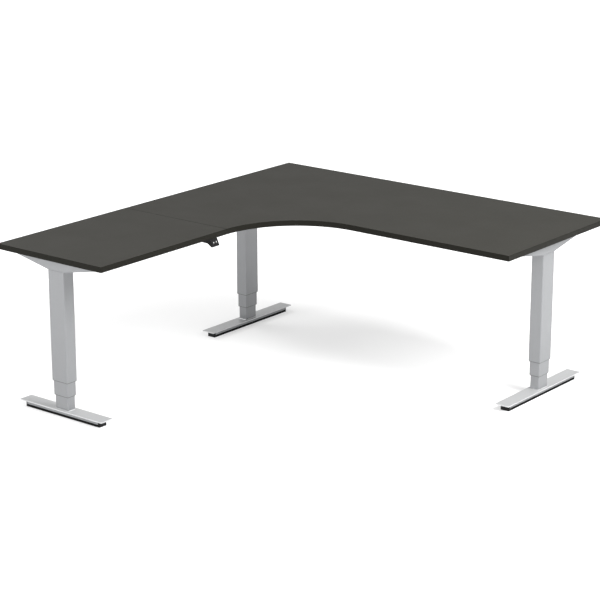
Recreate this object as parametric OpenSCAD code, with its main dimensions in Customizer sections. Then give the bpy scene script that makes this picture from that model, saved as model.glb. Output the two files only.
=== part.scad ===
// Height adjustable corner desk: two worktops in an L on a frame with three motor driven columns.
// Millimetres, +Z up. The origin is on the floor, under the middle of the L's outer rectangle.
// +X runs along the right wing, +Y points to the back. The columns are drawn at sitting height.

/* [Worktop] */
// Overall length of the right wing, along X
right_wing_l = 1820; // [1500:10:2200]
// Overall length of the left wing, along Y
left_wing_l = 1980; // [1650:10:2400]
// Depth of the right wing, front to back
right_depth = 800; // [760:10:960]
// Depth of the left wing, front to back
left_depth = 610; // [560:10:740]
// Radius of the concave curve between the wings
inner_r = 390; // [300:10:470]
// Thickness of both worktops
top_t = 25; // [19:1:32]
// Thickness of the edge band
band_t = 2; // [1:0.5:3]
// Gap at the seam between the two worktops
seam_gap = 0.6; // [0.2:0.2:1.6]
// Height of the worktop's upper face as drawn
rest_h = 730; // [700:5:900]

/* [Columns] */
// From a worktop's end to the middle of its column
column_inset = 70; // [60:5:110]
// From the back edge to the middle of the two columns under the right wing
column_setback = 413; // [370:1:440]
// Long side of the outer tube, along its foot
tube_l = 92; // [82:1:110]
// Short side of the outer tube
tube_w = 60; // [54:1:72]
// Wall of each tube
tube_wall = 2.5; // [1.5:0.5:3]
// How much smaller each stage is than the one round it
stage_step = 8; // [7:0.5:10]
// Outer corner radius of the tubes
tube_r = 4; // [3:0.5:6]
// How far the worktop can go down from the drawn height
travel_down = 110; // [60:5:110]
// How far the worktop can go up from the drawn height
travel_up = 540; // [300:10:540]
// Length of the inner tube that shows at the drawn height
inner_show = 62; // [62:1:90]
// Length of the middle tube that shows at the drawn height
middle_show = 65; // [62:1:90]

/* [Feet] */
// Length of the two feet under the right wing
long_foot_l = 598; // [480:2:700]
// Length of the foot under the left wing
short_foot_l = 490; // [400:2:560]
// Width of the foot's top plate
foot_w = 70; // [64:1:84]
// Height of the foot's upper face
foot_h = 32; // [28:1:40]
// Thickness of the foot's top plate
foot_plate_t = 4.5; // [3:0.5:6]
// Height of the black strip under the foot
strip_h = 12; // [8:1:14]

/* [Frame] */
// Depth of a support arm where it meets the column
arm_depth = 53; // [50:1:64]
// Depth of a support arm at its tips
arm_tip = 12; // [8:1:20]
// Half the length of the support arms under the right wing
long_arm = 270; // [230:5:330]
// Half the length of the support arm under the left wing
short_arm = 250; // [200:5:270]
// Thickness of the folded sheet steel
sheet_t = 3; // [2:0.5:4]
// Width of a rail
rail_w = 24; // [20:1:30]
// Height of a rail
rail_h = 40; // [30:1:42]
// Radius of a lift motor
motor_r = 20; // [17:0.5:21]
// Length of a lift motor
motor_l = 126; // [90:1:160]

/* [Handset] */
// Width of the handset
handset_w = 46; // [40:1:60]
// Length of the handset behind the worktop's edge
handset_l = 70; // [60:1:90]
// How far the handset hangs below the worktop
handset_drop = 34; // [30:1:40]
// From the seam to the middle of the handset
handset_from_seam = 90; // [40:5:110]
// Side of a square handset button
button_side = 11; // [8:0.5:12]
// How far a button can be pressed
button_travel = 1; // [0.5:0.1:1.2]

/* [Hidden] */
$fn = 48;

// Colours
top_grey = [0.33, 0.32, 0.29];
band_grey = [0.17, 0.17, 0.15];
silver = [0.72, 0.73, 0.74];
foot_silver = [0.82, 0.83, 0.84];
black = [0.07, 0.07, 0.07];
steel = [0.55, 0.56, 0.57];
brass = [0.72, 0.58, 0.28];

// A sliver that lets a cut run past a face
eps = 0.5;
// Slack between a moving piece and the piece that guides it
slide_gap = 0.2;
// Slack of a running fit, on the radius
run_gap = 0.08;

// Worktop edges
left_x = -right_wing_l / 2;
right_x = right_wing_l / 2;
back_y = left_wing_l / 2;
end_y = -left_wing_l / 2;
front_y = back_y - right_depth;
inner_x = left_x + left_depth;
seam_y = front_y - inner_r;
under_z = rest_h - top_t;

// Column places: [x, y, turn], turned so that local +X points along the rails, inwards
LEFT = [left_x + left_depth / 2, end_y + column_inset, 90];
CORNER = [left_x + column_inset, back_y - column_setback, 0];
RIGHT = [right_x - column_inset, back_y - column_setback, 180];

// Heights along a column
column_top = under_z - arm_depth;
middle_bottom = foot_h + inner_show;
outer_bottom = middle_bottom + middle_show;
inner_clear = 27;
middle_clear = 13;
inner_top = column_top - travel_down - inner_clear;
middle_top = column_top - travel_down / 2 - middle_clear;
flange_t = 2;
flange_in = 1;
glide_h = 30;

// Drive
screw_r = 7;
lower_screw_r = 10;
nut_plate_t = 8;
lower_nut_t = 20;
collar_r = 16;
gear_l = 80;
gear_gap = 2;
gear_h = arm_depth - 2 * sheet_t - 4;
gear_z = column_top + sheet_t;
gear_w = tube_w - 2 * sheet_t - 2 * gear_gap;
motor_z = gear_z + gear_h / 2;
motor_gap = 1;
spigot_r = motor_r - 4;
spigot_l = 5;
spigot_gap = 0.1;
bell_r = motor_r - 3;
bell_l = 5;
screw_seat = 20;
screw_seat_gap = 2;
key_w = 3;
key_d = 2;
collar_t = 5;
collar_gap = 1;
lower_nut_drop = 10;
upper_screw_spare = 36;
lower_screw_spare = 25;
upper_screw_end = middle_top - nut_plate_t - travel_up / 2 - upper_screw_spare;
lower_screw_top = middle_top - nut_plate_t - collar_gap;
lower_nut_top = inner_top - lower_nut_drop;
lower_screw_end = lower_nut_top - lower_nut_t - travel_up / 2 - lower_screw_spare;

// Rails
rail_room = 23;
rail_off = motor_r + rail_room + rail_w / 2;
tab_w = 24;
tab_bolt = rail_off + rail_w / 2 + tab_w / 2;
bolt_r = 3;
bolt_head_r = 5;
bolt_head_t = 4;
nut_t = 5;
bolt_end = 1;
bolt_in = 10;
bolt_slack = 0.2;

// Wood screws
wood_r = 2;
wood_l = 14;
wood_head_r = 4.5;
wood_head_t = 2.6;
wood_slack = 0.3;
driver_hole_r = 6;
arm_tip_screw = 25;
arm_mid_screw = 110;
wing_screw_in = 70;
return_screw_in = 60;
plate_screw_x = 20;
plate_screw_y = 40;

// Feet
overhang = 32;
cap_l = 8;
cap_r = 4;
cap_in = 1;
plug_l = 10;
plug_up = 4;
tongue_h = 3;
plate_r = 2;
channel_w = foot_w - 24;
groove_h = 6;
groove_d = 2;
channel_bore = channel_w - 2 * groove_d - 2 * sheet_t;
channel_top = foot_h - foot_plate_t;

// Seam plates
plate_w = 60;
plate_l = 140;
plate_in = 30;

// Control box: size and low corner
box_size = [240, 100, 38];
box_pos = [left_x + left_depth, back_y - 310, under_z - box_size[2]];
socket_size = [14, 9, 12];
socket_in = 12;
socket_step = 21;
inlet_size = [20, 32, 24];
inlet_pos = [0, 34, 8];
inlet_wall = 4;
inlet_depth = 15;
pin_size = [11.5, 2, 5];
pin_step = 7;

// Handset: the front face leans out from the worktop's edge by this much at its foot
lean = 14;
face_h = handset_drop - 4;
face_tilt = atan2(lean, face_h);
handset_y = seam_y - handset_from_seam;
button_gap = 17;
button_h = 3.2;
button_proud = 1.2;
button_down_face = 17;
pocket_side = button_side + 0.6;
button_pocket = button_h - button_proud + button_travel + 0.4;

// Every wood screw's place, by worktop
function along_arm(half) = [for (s = [-1, 1], d = [arm_tip_screw, arm_mid_screw]) s * (half - d)];
function arm_screws(place, half) = [
    for (d = along_arm(half)) [place[0] - d * sin(place[2]), place[1] + d * cos(place[2])]
];
function spread(from, to, n) = [for (i = [0 : n - 1]) from + (to - from) * i / (n - 1)];
rail_from_x = CORNER[0] + tube_w / 2;
rail_to_x = RIGHT[0] - tube_w / 2;
rail_from_y = LEFT[1] + tube_w / 2;
rail_to_y = CORNER[1] - rail_off - rail_w / 2;
plate_x = [left_x + plate_l / 2, inner_x - plate_l / 2];
return_screws = concat(
    arm_screws(LEFT, short_arm),
    [for (s = [-1, 1], y = spread(rail_from_y + return_screw_in, seam_y - return_screw_in, 3))
        [LEFT[0] + s * rail_off, y]],
    [for (x = plate_x, s = [-1, 1]) [x + s * plate_screw_x, seam_y - plate_screw_y]]
);
main_screws = concat(
    arm_screws(CORNER, long_arm),
    arm_screws(RIGHT, long_arm),
    [for (s = [-1, 1], x = spread(rail_from_x + wing_screw_in, rail_to_x - wing_screw_in, 5))
        [x, CORNER[1] + s * rail_off]],
    [for (s = [-1, 1], y = spread(seam_y + return_screw_in, rail_to_y - return_screw_in, 3))
        [LEFT[0] + s * rail_off, y]],
    [for (x = plate_x, s = [-1, 1]) [x + s * plate_screw_x, seam_y + plate_screw_y]]
);

// Moves a piece from a column's own frame to that column
module at(place) {
    translate([place[0], place[1], 0]) rotate([0, 0, place[2]]) children();
}

// A rectangle with round corners, centred
module round_rect(w, l, r) {
    square([w - 2 * r, l], center = true);
    square([w, l - 2 * r], center = true);
    for (sx = [-1, 1], sy = [-1, 1])
        translate([sx * (w / 2 - r), sy * (l / 2 - r)]) circle(r = r);
}

// A straight tube between two heights; stage 0 is the outer tube, 2 the inner one
module stage_tube(stage, z1, z2) {
    w = tube_w - stage * stage_step;
    l = tube_l - stage * stage_step;
    translate([0, 0, z1]) linear_extrude(z2 - z1) difference() {
        round_rect(w, l, tube_r);
        round_rect(w - 2 * tube_wall, l - 2 * tube_wall, tube_r - tube_wall / 2);
    }
}

// Plastic glide at the lower end of a stage: a sleeve inside the tube and a flange under its end
module stage_glide(stage, z) {
    w = tube_w - stage * stage_step;
    l = tube_l - stage * stage_step;
    next_w = w - stage_step + 2 * slide_gap;
    next_l = l - stage_step + 2 * slide_gap;
    difference() {
        union() {
            translate([0, 0, z]) linear_extrude(flange_t) 
                round_rect(w - 2 * flange_in, l - 2 * flange_in, tube_r - flange_in);
            translate([0, 0, z + flange_t]) linear_extrude(glide_h)
                round_rect(w - 2 * tube_wall, l - 2 * tube_wall, tube_r - tube_wall / 2);
        }
        translate([0, 0, z - eps]) linear_extrude(glide_h + flange_t + 2 * eps)
            round_rect(next_w, next_l, tube_r);
    }
}

// The corner worktop's outline, brought in by d all round
module main_outline(d) {
    difference() {
        union() {
            translate([left_x + d, front_y + d]) square([right_wing_l - 2 * d, right_depth - 2 * d]);
            translate([left_x + d, seam_y + d])
                square([left_depth + inner_r - d, right_depth + inner_r - 2 * d]);
        }
        translate([inner_x + inner_r, seam_y]) circle(r = inner_r + d, $fn = 180);
    }
}

// The straight worktop's outline, brought in by d all round
module return_outline(d) {
    translate([left_x + d, end_y + d])
        square([left_depth - 2 * d, seam_y - seam_gap - end_y - 2 * d]);
}

// Pilot holes in a worktop's underside
module pilot_holes(points) {
    for (p = points)
        translate([p[0], p[1], under_z - eps]) cylinder(r = wood_r + run_gap, h = wood_l + 2 * eps);
}

module main_top() {
    color(top_grey) difference() {
        translate([0, 0, under_z]) linear_extrude(top_t) main_outline(band_t);
        pilot_holes(main_screws);
    }
}

module return_top() {
    color(top_grey) difference() {
        translate([0, 0, under_z]) linear_extrude(top_t) return_outline(band_t);
        pilot_holes(return_screws);
    }
}

module main_edge_band() {
    color(band_grey) translate([0, 0, under_z]) linear_extrude(top_t) difference() {
        main_outline(0);
        main_outline(band_t);
    }
}

module return_edge_band() {
    color(band_grey) translate([0, 0, under_z]) linear_extrude(top_t) difference() {
        return_outline(0);
        return_outline(band_t);
    }
}

// Screw hole through sheet steel that lies against the worktop
module sheet_hole(p) {
    translate([p[0], p[1], under_z - sheet_t - eps]) cylinder(r = wood_r + wood_slack, h = sheet_t + 2 * eps);
}

// Flat plates that bridge the seam from below
module seam_plates() {
    color(steel) difference() {
        for (x = plate_x)
            translate([x - plate_l / 2 + plate_in, seam_y - plate_w, under_z - sheet_t])
                cube([plate_l - 2 * plate_in, 2 * plate_w, sheet_t]);
        for (p = concat(return_screws, main_screws)) sheet_hole(p);
    }
}

// Side outline of a support arm, y along the arm, z up, brought in by d at the ends and the slopes
module arm_side(half, d) {
    polygon([
        [-half + d, under_z], [half - d, under_z],
        [half - d, under_z - arm_tip + d], [tube_l / 2, column_top + d],
        [-tube_l / 2, column_top + d], [-half + d, under_z - arm_tip + d]
    ]);
}

// Folded arm: top flange, two tapered sides and a bottom that closes it all round
module support_arm(half) {
    w = tube_w;
    difference() {
        rotate([90, 0, 90]) translate([0, 0, -w / 2]) linear_extrude(w) arm_side(half, 0);
        difference() {
            rotate([90, 0, 90]) translate([0, 0, -w / 2 + sheet_t]) linear_extrude(w - 2 * sheet_t)
                arm_side(half, sheet_t);
            translate([-w, -half, under_z - sheet_t]) cube([2 * w, 2 * half, 2 * sheet_t]);
        }
        // Room for the motor, the lift screw and the screwdriver
        translate([0, 0, motor_z]) rotate([0, 90, 0]) cylinder(r = motor_r + motor_gap, h = w);
        translate([0, 0, column_top - eps]) cylinder(r = screw_r + 2, h = sheet_t + 2 * eps);
        for (d = along_arm(half)) {
            translate([0, d, column_top - eps]) cylinder(r = driver_hole_r, h = arm_depth - sheet_t - eps);
            translate([0, d, under_z - 2 * sheet_t]) cylinder(r = wood_r + wood_slack, h = 3 * sheet_t);
        }
        for (s = [-1, 1], z = bolt_heights())
            translate([0, s * tab_bolt, z]) rotate([0, 90, 0])
                cylinder(r = bolt_r + bolt_slack, h = w);
    }
}

function bolt_heights() = [under_z - rail_h + bolt_in, under_z - bolt_in];

module support_arm_left() { color(silver) at(LEFT) support_arm(short_arm); }
module support_arm_corner() { color(silver) at(CORNER) support_arm(long_arm); }
module support_arm_right() { color(silver) at(RIGHT) support_arm(long_arm); }

// Rail along local +X from x1 to x2: an upside down U with a bolt tab welded on each end
module rail(x1, x2, y, tab_side) {
    tab_y = tab_side > 0 ? y - rail_w / 2 : y - rail_w / 2 - tab_w;
    translate([0, 0, under_z - rail_h]) {
        difference() {
            translate([x1 + sheet_t, y - rail_w / 2, 0]) cube([x2 - x1 - 2 * sheet_t, rail_w, rail_h]);
            translate([x1 + sheet_t - eps, y - rail_w / 2 + sheet_t, -eps])
                cube([x2 - x1, rail_w - 2 * sheet_t, rail_h - sheet_t + eps]);
        }
        for (x = [x1, x2 - sheet_t]) difference() {
            translate([x, tab_y, 0]) cube([sheet_t, rail_w + tab_w, rail_h]);
            for (z = [bolt_in, rail_h - bolt_in])
                translate([x - eps, tab_side * tab_bolt + y - tab_side * rail_off, z]) rotate([0, 90, 0])
                    cylinder(r = bolt_r + bolt_slack, h = sheet_t + 2 * eps);
        }
    }
}

module wing_rails() {
    color(silver) difference() {
        for (s = [-1, 1])
            translate([0, CORNER[1], 0]) rail(rail_from_x, rail_to_x, s * rail_off, s);
        for (p = main_screws) sheet_hole(p);
        // Bolt holes for the return rails' tabs
        for (s = [-1, 1], z = bolt_heights())
            translate([LEFT[0] + s * tab_bolt, rail_to_y - eps, z]) rotate([-90, 0, 0])
                cylinder(r = bolt_r + bolt_slack, h = sheet_t + 2 * eps);
    }
}

module return_rails() {
    color(silver) difference() {
        translate([LEFT[0], 0, 0]) rotate([0, 0, 90])
            for (s = [-1, 1]) rail(rail_from_y, rail_to_y, s * rail_off, s);
        for (p = concat(main_screws, return_screws)) sheet_hole(p);
    }
}

module outer_tube() { stage_tube(0, outer_bottom + flange_t, column_top); }
module outer_tube_left() { color(silver) at(LEFT) outer_tube(); }
module outer_tube_corner() { color(silver) at(CORNER) outer_tube(); }
module outer_tube_right() { color(silver) at(RIGHT) outer_tube(); }

module outer_glides() {
    color(black) for (place = [LEFT, CORNER, RIGHT]) at(place) stage_glide(0, outer_bottom);
}

module middle_tube() { stage_tube(1, middle_bottom + flange_t, middle_top); }
module middle_tube_left() { color(silver) at(LEFT) middle_tube(); }
module middle_tube_corner() { color(silver) at(CORNER) middle_tube(); }
module middle_tube_right() { color(silver) at(RIGHT) middle_tube(); }

module middle_glide_left() { color(black) at(LEFT) stage_glide(1, middle_bottom); }
module middle_glide_corner() { color(black) at(CORNER) stage_glide(1, middle_bottom); }
module middle_glide_right() { color(black) at(RIGHT) stage_glide(1, middle_bottom); }

module inner_tube() { stage_tube(2, foot_h, inner_top); }
module inner_tube_left() { color(silver) at(LEFT) inner_tube(); }
module inner_tube_corner() { color(silver) at(CORNER) inner_tube(); }
module inner_tube_right() { color(silver) at(RIGHT) inner_tube(); }

// Flat top plate of a foot, which runs past the channel at both ends
module foot_plate(l) {
    translate([0, 0, foot_h - foot_plate_t]) linear_extrude(foot_plate_t)
        round_rect(foot_w, l, plate_r);
}
module foot_plate_left() { color(foot_silver) at(LEFT) foot_plate(short_foot_l); }
module foot_plate_corner() { color(foot_silver) at(CORNER) foot_plate(long_foot_l); }
module foot_plate_right() { color(foot_silver) at(RIGHT) foot_plate(long_foot_l); }

// Channel under the plate: open below, with a groove along each side under the plate
module foot_channel(l) {
    run = l - 2 * overhang;
    rotate([90, 0, 0]) translate([0, 0, -run / 2]) linear_extrude(run) difference() {
        union() {
            translate([-channel_w / 2, strip_h]) square([channel_w, channel_top - groove_h - strip_h]);
            translate([-channel_w / 2 + groove_d, strip_h])
                square([channel_w - 2 * groove_d, channel_top - strip_h]);
        }
        translate([-channel_bore / 2, 0]) square([channel_bore, channel_top - sheet_t]);
    }
}
module foot_channel_left() { color(foot_silver) at(LEFT) foot_channel(short_foot_l); }
module foot_channel_corner() { color(foot_silver) at(CORNER) foot_channel(long_foot_l); }
module foot_channel_right() { color(foot_silver) at(RIGHT) foot_channel(long_foot_l); }

// Plastic strip that the foot stands on, with a tongue that clips into the channel
module base_strip(l) {
    run = l - 2 * overhang;
    translate([-channel_w / 2 + cap_in, -run / 2, 0]) cube([channel_w - 2 * cap_in, run, strip_h]);
    translate([-channel_bore / 2, -run / 2, strip_h]) cube([channel_bore, run, tongue_h]);
}
module base_strip_left() { color(black) at(LEFT) base_strip(short_foot_l); }
module base_strip_corner() { color(black) at(CORNER) base_strip(long_foot_l); }
module base_strip_right() { color(black) at(RIGHT) base_strip(long_foot_l); }

// Plastic caps that close both ends of the channel under the plate's overhang
module foot_end_caps(l) {
    half_w = channel_w / 2 - cap_in;
    start = l / 2 - overhang;
    for (s = [0, 180]) rotate([0, 0, s]) {
        translate([-half_w, start, 0]) cube([2 * half_w, cap_l - cap_r, channel_top]);
        translate([-half_w + cap_r, start + cap_l - cap_r, 0])
            cube([2 * (half_w - cap_r), cap_r, channel_top]);
        for (sx = [-1, 1])
            translate([sx * (half_w - cap_r), start + cap_l - cap_r, 0]) cylinder(r = cap_r, h = channel_top);
        translate([-channel_bore / 2, start - plug_l, strip_h + plug_up])
            cube([channel_bore, plug_l, channel_top - sheet_t - strip_h - plug_up]);
    }
}
module foot_end_caps_left() { color(black) at(LEFT) foot_end_caps(short_foot_l); }
module foot_end_caps_corner() { color(black) at(CORNER) foot_end_caps(long_foot_l); }
module foot_end_caps_right() { color(black) at(RIGHT) foot_end_caps(long_foot_l); }

// Gear housing above the tube, inside the arm
module gear_housing() {
    difference() {
        translate([-gear_w / 2, -gear_l / 2, gear_z]) cube([gear_w, gear_l, gear_h]);
        translate([0, 0, gear_z - eps])
            cylinder(r = screw_r + run_gap, h = screw_seat + screw_seat_gap + eps);
        translate([gear_w / 2 - spigot_l - 1, 0, motor_z]) rotate([0, 90, 0])
            cylinder(r = spigot_r, h = spigot_l + 2);
    }
}
module gear_housing_left() { color(steel) at(LEFT) gear_housing(); }
module gear_housing_corner() { color(steel) at(CORNER) gear_housing(); }
module gear_housing_right() { color(steel) at(RIGHT) gear_housing(); }

// Motor lying between the rails, with a spigot in the gear housing and an end bell
module motor() {
    can_l = motor_l - spigot_l - bell_l;
    translate([gear_w / 2 - spigot_l, 0, motor_z]) rotate([0, 90, 0]) {
        cylinder(r = spigot_r - spigot_gap, h = spigot_l);
        translate([0, 0, spigot_l]) cylinder(r = motor_r, h = can_l);
        translate([0, 0, spigot_l + can_l]) cylinder(r = bell_r, h = bell_l);
    }
}
module motor_left() { color(black) at(LEFT) motor(); }
module motor_corner() { color(black) at(CORNER) motor(); }
module motor_right() { color(black) at(RIGHT) motor(); }

// Upper screw: hangs from the gear housing, runs through the upper nut, with a keyway all along
module upper_screw() {
    translate([0, 0, upper_screw_end]) difference() {
        cylinder(r = screw_r, h = gear_z + screw_seat - upper_screw_end);
        translate([screw_r - key_d, -key_w / 2, -eps])
            cube([2 * key_d, key_w, column_top - screw_seat - upper_screw_end]);
    }
}
module upper_screw_left() { color(steel) at(LEFT) upper_screw(); }
module upper_screw_corner() { color(steel) at(CORNER) upper_screw(); }
module upper_screw_right() { color(steel) at(RIGHT) upper_screw(); }

// Lower screw: a hollow screw hung in the middle tube, keyed to the upper screw inside it
module lower_screw() {
    run = lower_screw_top - lower_screw_end;
    translate([0, 0, lower_screw_end]) difference() {
        union() {
            cylinder(r = lower_screw_r, h = run);
            translate([0, 0, run - collar_t]) cylinder(r = collar_r, h = collar_t);
        }
        translate([0, 0, -eps]) cylinder(r = screw_r + run_gap, h = run + 2 * eps);
    }
}
module lower_screw_left() { color(steel) at(LEFT) lower_screw(); }
module lower_screw_corner() { color(steel) at(CORNER) lower_screw(); }
module lower_screw_right() { color(steel) at(RIGHT) lower_screw(); }

// A nut plate that fills a stage's bore, under the height z
module nut_plate(stage, z, t, r) {
    w = tube_w - stage * stage_step - 2 * tube_wall;
    l = tube_l - stage * stage_step - 2 * tube_wall;
    translate([0, 0, z - t]) linear_extrude(t) difference() {
        round_rect(w, l, tube_r - tube_wall / 2);
        circle(r = r + run_gap);
    }
}
module upper_nut() { nut_plate(1, middle_top, nut_plate_t, screw_r); }
module upper_nut_left() { color(brass) at(LEFT) upper_nut(); }
module upper_nut_corner() { color(brass) at(CORNER) upper_nut(); }
module upper_nut_right() { color(brass) at(RIGHT) upper_nut(); }

module lower_nut() { nut_plate(2, lower_nut_top, lower_nut_t, lower_screw_r); }
module lower_nut_left() { color(brass) at(LEFT) lower_nut(); }
module lower_nut_corner() { color(brass) at(CORNER) lower_nut(); }
module lower_nut_right() { color(brass) at(RIGHT) lower_nut(); }

// Control box behind the wing rails, with a socket for each motor and the handset at one end
module control_box() {
    color(black) difference() {
        translate(box_pos) cube(box_size);
        for (i = [0 : 3])
            translate(box_pos + [box_size[0] - socket_size[0] + eps, socket_in + i * socket_step, socket_in])
                cube(socket_size);
        translate(box_pos + inlet_pos - [eps, 0, 0]) cube(inlet_size + [eps, 0, 0]);
    }
}

// Inlet for a mains lead, set in the control box's other end
module power_inlet() {
    hollow = inlet_size - [inlet_size[0] - inlet_depth, 2 * inlet_wall, 2 * inlet_wall];
    translate(box_pos + inlet_pos) {
        color(black) difference() {
            cube(inlet_size);
            translate([-eps, inlet_wall, inlet_wall]) cube(hollow + [eps, 0, 0]);
        }
        color(steel) for (i = [-1, 0, 1])
            translate([inlet_depth + eps - pin_size[0], inlet_size[1] / 2 + i * pin_step - pin_size[1] / 2,
                       (inlet_size[2] - pin_size[2]) / 2])
                cube(pin_size);
    }
}

// Moves a piece to the handset's front face: x out of the face, y across it, z down from its top edge
module on_face() {
    translate([inner_x + 1, handset_y, under_z]) rotate([0, -face_tilt, 0]) children();
}

// Handset screwed under the worktop's inner edge
module handset_case() {
    color(black) difference() {
        translate([0, handset_y + handset_w / 2, 0]) rotate([90, 0, 0]) linear_extrude(handset_w) polygon([
            [inner_x + 1, under_z],
            [inner_x + 1 + lean, under_z - face_h],
            [inner_x + lean - 2, under_z - handset_drop],
            [inner_x + lean - 9, under_z - handset_drop + 1],
            [inner_x + lean - 28, under_z - handset_drop / 2 - 4],
            [inner_x - handset_l + 3, under_z - handset_drop / 2 - 1],
            [inner_x - handset_l, under_z - handset_drop / 2 + 3],
            [inner_x - handset_l, under_z]
        ]);
        for (s = [-1, 1])
            on_face() translate([-button_pocket, s * button_gap / 2 - pocket_side / 2,
                                 -button_down_face - pocket_side / 2])
                cube([button_pocket + 3, pocket_side, pocket_side]);
    }
}

module button(side) {
    on_face() translate([button_proud - button_h, side * button_gap / 2 - button_side / 2,
                         -button_down_face - button_side / 2])
        cube([button_h, button_side, button_side]);
}
module up_button() { color(black) button(1); }
module down_button() { color(black) button(-1); }

// Wood screws up through arms, rails and seam plates into the worktops
module wood_screws() {
    color(steel) for (p = concat(main_screws, return_screws)) translate([p[0], p[1], under_z - sheet_t]) {
        cylinder(r = wood_r, h = sheet_t + wood_l, $fn = 24);
        translate([0, 0, -wood_head_t]) cylinder(r = wood_head_r, h = wood_head_t, $fn = 24);
    }
}

// A bolt along +X through two sheets, head at x = 0, with its nut on the far side
module bolt_and_nut() {
    rotate([0, 90, 0]) {
        translate([0, 0, -bolt_head_t]) cylinder(r = bolt_head_r, h = bolt_head_t, $fn = 24);
        cylinder(r = bolt_r, h = 2 * sheet_t + nut_t + bolt_end, $fn = 24);
        translate([0, 0, 2 * sheet_t]) difference() {
            cylinder(r = bolt_head_r, h = nut_t, $fn = 6);
            translate([0, 0, -eps]) cylinder(r = bolt_r + run_gap, h = nut_t + 2 * eps, $fn = 24);
        }
    }
}

module frame_bolts() {
    color(steel) {
        for (place = [LEFT, CORNER, RIGHT], s = [-1, 1], z = bolt_heights())
            at(place) translate([tube_w / 2 + sheet_t, s * tab_bolt, z]) rotate([0, 0, 180]) bolt_and_nut();
        for (s = [-1, 1], z = bolt_heights())
            translate([LEFT[0] + s * tab_bolt, rail_to_y - sheet_t, z]) rotate([0, 0, 90]) bolt_and_nut();
    }
}

main_top();
return_top();
main_edge_band();
return_edge_band();
seam_plates();
support_arm_left();
support_arm_corner();
support_arm_right();
wing_rails();
return_rails();
outer_tube_left();
outer_tube_corner();
outer_tube_right();
outer_glides();
middle_tube_left();
middle_tube_corner();
middle_tube_right();
middle_glide_left();
middle_glide_corner();
middle_glide_right();
inner_tube_left();
inner_tube_corner();
inner_tube_right();
foot_plate_left();
foot_plate_corner();
foot_plate_right();
foot_channel_left();
foot_channel_corner();
foot_channel_right();
base_strip_left();
base_strip_corner();
base_strip_right();
foot_end_caps_left();
foot_end_caps_corner();
foot_end_caps_right();
gear_housing_left();
gear_housing_corner();
gear_housing_right();
motor_left();
motor_corner();
motor_right();
upper_screw_left();
upper_screw_corner();
upper_screw_right();
lower_screw_left();
lower_screw_corner();
lower_screw_right();
upper_nut_left();
upper_nut_corner();
upper_nut_right();
lower_nut_left();
lower_nut_corner();
lower_nut_right();
control_box();
power_inlet();
handset_case();
up_button();
down_button();
wood_screws();
frame_bolts();
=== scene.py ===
"""The looks of a height adjustable corner desk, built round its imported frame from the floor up.

Sizes are in metres.
"""

import math

import bmesh
import bpy
from mathutils import Matrix, Vector


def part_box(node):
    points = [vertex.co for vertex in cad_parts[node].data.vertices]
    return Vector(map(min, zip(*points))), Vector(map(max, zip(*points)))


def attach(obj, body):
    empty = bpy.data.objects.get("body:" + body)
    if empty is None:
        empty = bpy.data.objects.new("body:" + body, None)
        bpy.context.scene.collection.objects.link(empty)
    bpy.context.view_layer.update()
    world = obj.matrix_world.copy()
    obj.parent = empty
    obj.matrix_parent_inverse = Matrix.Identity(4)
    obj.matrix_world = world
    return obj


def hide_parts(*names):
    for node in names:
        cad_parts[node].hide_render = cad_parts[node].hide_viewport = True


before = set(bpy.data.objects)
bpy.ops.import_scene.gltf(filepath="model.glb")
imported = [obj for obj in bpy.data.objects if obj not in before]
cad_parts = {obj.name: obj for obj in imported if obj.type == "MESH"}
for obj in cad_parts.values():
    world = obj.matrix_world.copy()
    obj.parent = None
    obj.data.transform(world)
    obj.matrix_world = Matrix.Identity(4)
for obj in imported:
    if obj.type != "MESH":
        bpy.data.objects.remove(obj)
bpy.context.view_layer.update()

# --- Base strips ---------------------------------------------------------------------------------
# Each foot stands on a strip of black rubbery plastic. It is extruded in one length, cut square,
# and clips into the open underside of the foot's channel by a tongue.


class Signal:
    """A shader socket that can be added and multiplied in Python: each operator adds its Math node."""

    def __init__(self, finish, socket):
        self.finish = finish
        self.socket = socket

    def math(self, operation, left, right):
        return self.finish.node("ShaderNodeMath", {"operation": operation}, {0: left, 1: right})

    def __add__(self, other):
        return self.math("ADD", self, other)

    def __radd__(self, other):
        return self.math("ADD", other, self)

    def __mul__(self, other):
        return self.math("MULTIPLY", self, other)

    def __rmul__(self, other):
        return self.math("MULTIPLY", other, self)


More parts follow.
